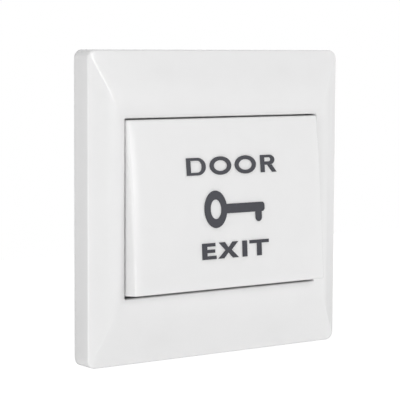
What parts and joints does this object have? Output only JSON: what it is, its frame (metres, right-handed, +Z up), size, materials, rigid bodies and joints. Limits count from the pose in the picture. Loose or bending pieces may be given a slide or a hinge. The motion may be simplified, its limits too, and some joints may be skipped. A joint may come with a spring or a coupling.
{
  "type": "door exit button",
  "caption": "Square wall-mounted press-to-exit switch with a wide rocking press key, a clip-fitted cover and a changeover contact behind it.",
  "frame": {"origin": "centre of the wall-screw pattern, on the wall plane behind the cover", "axes": "+X to the right seen from the front, +Y into the wall, +Z up"},
  "size_m": [0.086, 0.0329, 0.086],
  "materials": {
    "white_gloss_abs": "glossy moulded ABS",
    "base_white_abs": "satin moulded ABS",
    "housing_plastic": "satin moulded flame-retardant plastic",
    "plunger_nylon": "natural nylon",
    "spring_steel": "bright drawn spring wire",
    "contact_brass": "stamped brass strip",
    "contact_silver": "silver-alloy rivet",
    "plated_steel": "zinc-plated steel"
  },
  "bodies": {
    "base": {"mounting_plate": "base_white_abs", "front_frame": "white_gloss_abs", "contact_housing": "housing_plastic", "com_terminal": "contact_brass", "no_terminal": "contact_brass", "nc_terminal": "contact_brass", "no_contact": "contact_silver", "nc_contact": "contact_silver", "com_clamp_plate": "plated_steel", "no_clamp_plate": "plated_steel", "nc_clamp_plate": "plated_steel", "terminal_screws": "plated_steel", "housing_screws": "plated_steel", "lever_pivot_pin": "plated_steel", "return_spring": "spring_steel", "lever_spring": "spring_steel"},
    "button": {"rocker_button": "white_gloss_abs"},
    "plunger": {"plunger": "plunger_nylon"},
    "contact": {"contact_lever": "contact_brass", "lever_contact": "contact_silver"}
  },
  "joints": [
    {"name": "button_press", "type": "hinge", "parent": "base", "child": "button", "pos_m": [0, -0.006, 0.01825], "axis": [1, 0, 0], "range_deg": [0, 4.5], "stiffness_Nm_per_rad": 0.4, "springref_deg": -4.01},
    {"name": "plunger_slide", "type": "slide", "parent": "base", "child": "plunger", "axis": [0, 1, 0], "range_m": [0, 0.00145], "deforming": ["return_spring"]},
    {"name": "contact_swing", "type": "hinge", "parent": "base", "child": "contact", "pos_m": [0, 0.004, 0.0099], "axis": [1, 0, 0], "range_deg": [0, 8.4], "deforming": ["lever_spring"]}
  ],
  "couplings": [
    {"joint": "plunger_slide", "follows": "button_press", "m_per_rad": 0.01823},
    {"joint": "contact_swing", "follows": "button_press", "ratio": 1.8289}
  ]
}
